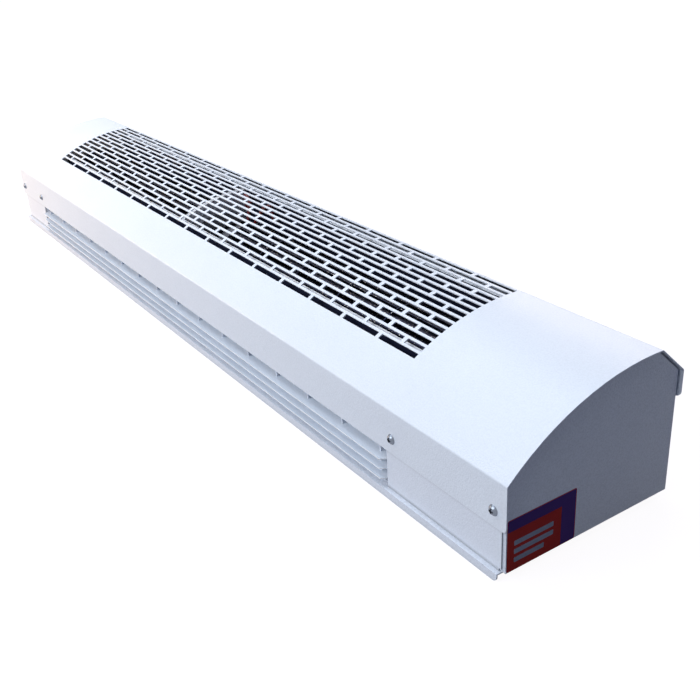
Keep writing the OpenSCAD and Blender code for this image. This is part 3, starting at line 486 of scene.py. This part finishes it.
# ---- Room ------------------------------------------------------------------------------
# A floor that runs out of sight in every direction, under a dim blue surround. The camera,
# mirrors and glass see both as plain pale paper.
def plainly_seen(tree):
    """1 for rays from the camera, a mirror or glass, and 0 for those that carry light."""
    rays = add(tree, "ShaderNodeLightPath").outputs
    mirrored = worked(tree, "MAXIMUM", rays["Is Glossy Ray"], rays["Is Transmission Ray"])
    return worked(tree, "MAXIMUM", rays["Is Camera Ray"], mirrored)


def either(tree, share, first, second):
    """The first shader where share is 0, and the second where it is 1."""
    mix = add(tree, "ShaderNodeMixShader")
    for socket, source in zip(mix.inputs, (share, first, second)):
        tree.links.new(source, socket)
    return mix.outputs[0]


paper = (1.0, 0.985, 0.99, 1)
clear_of_rails = 0.0001
floor_mesh = bpy.data.meshes.new("studio_floor")
floor = bpy.data.objects.new("studio_floor", floor_mesh)
bpy.context.collection.objects.link(floor)
floor_shape = bmesh.new()
bmesh.ops.create_grid(floor_shape, x_segments=8, y_segments=8, size=30)
floor_shape.to_mesh(floor_mesh)
floor_shape.free()
floor.location.z = -clear_of_rails

floor_paint, tree, shader = new_material("floor_paint")
shader.inputs["Base Color"].default_value = (0.09, 0.10, 0.13, 1)
shader.inputs["Roughness"].default_value = 0.9
glow = add(tree, "ShaderNodeEmission", Color=paper, Strength=0.95)
unlit = add(tree, "ShaderNodeEmission", Strength=0.0)
shown = either(tree, plainly_seen(tree), unlit.outputs[0], glow.outputs[0])
both = add(tree, "ShaderNodeAddShader")
tree.links.new(shader.outputs[0], both.inputs[0])
tree.links.new(shown, both.inputs[1])
tree.links.new(both.outputs[0], tree.nodes["Material Output"].inputs["Surface"])
floor_mesh.materials.append(floor_paint)

world = bpy.data.worlds.new("studio")
bpy.context.scene.world = world
world.use_nodes = True
tree = world.node_tree
surround = tree.nodes["Background"]
surround.inputs["Color"].default_value = (0.31, 0.468, 1.0, 1)
surround.inputs["Strength"].default_value = 0.111
white = add(tree, "ShaderNodeBackground", Color=paper, Strength=1.0)
shown = either(tree, plainly_seen(tree), surround.outputs[0], white.outputs[0])
tree.links.new(shown, tree.nodes["World Output"].inputs["Surface"])


# ---- Lamps -----------------------------------------------------------------------------
# A window far off behind the left end, a soft sheet of light overhead, and a wide fill in
# front. Two small glows brighten the left end. The right-hand end stays in shade.
def lamp(name, place, aim, size, watts, colour):
    light = bpy.data.lights.new(name, "AREA")
    light.shape = "RECTANGLE"
    light.size, light.size_y = size
    light.energy = watts
    light.color = colour
    holder = bpy.data.objects.new(name, light)
    bpy.context.collection.objects.link(holder)
    holder.location = place
    holder.rotation_euler = (Vector(aim) - Vector(place)).to_track_quat("-Z", "Y").to_euler()


lamp("window", (-1.95, 2.8, 1.9), (0.1, 0, 0.06), (1.3, 1.1), 27, (1.0, 0.86, 0.84))
lamp("overhead", (-1.0, -0.3, 2.6), (-0.1, 0, 0.06), (2.4, 2.0), 49, (0.85, 0.92, 1.0))
lamp("front_fill", (-0.1, -2.8, 2.1), (0, 0, 0.03), (2.6, 1.2), 86, (0.87, 0.925, 1.0))
lamp("left_end_glow", (-0.9, -0.6, 0.2), (-0.45, -0.08, 0.07), (0.35, 0.3), 3.4, (1.0, 0.66, 0.38))
lamp("left_top_glow", (-1.1, 0.3, 1.0), (-0.5, 0.0, 0.1), (0.7, 0.6), 1.2, (1.0, 0.97, 0.95))


# ---- Camera ----------------------------------------------------------------------------
# At the photograph's viewing angle, close to the right-hand end: turn and rise say where it
# looks from, and tilt how far it leans.
turn, rise, tilt = (math.radians(a) for a in (57.522, 26.02, -3.388))
eye = (0.8464, -0.4031, 0.4000)
back = Vector((math.sin(turn) * math.cos(rise), -math.cos(turn) * math.cos(rise), math.sin(rise)))
side = Vector((math.cos(turn), math.sin(turn), 0))
up = back.cross(side)
right = side * math.cos(tilt) + up * math.sin(tilt)
up = up * math.cos(tilt) - side * math.sin(tilt)
camera_data = bpy.data.cameras.new("camera")
camera_data.sensor_width = 36
camera_data.lens = 48.39
camera_data.clip_start, camera_data.clip_end = 0.01, 100
camera = bpy.data.objects.new("camera", camera_data)
bpy.context.collection.objects.link(camera)
camera.matrix_world = Matrix([*zip(right, up, back, eye), (0, 0, 0, 1)])
bpy.context.scene.camera = camera
bpy.context.scene.view_settings.view_transform = "Standard"
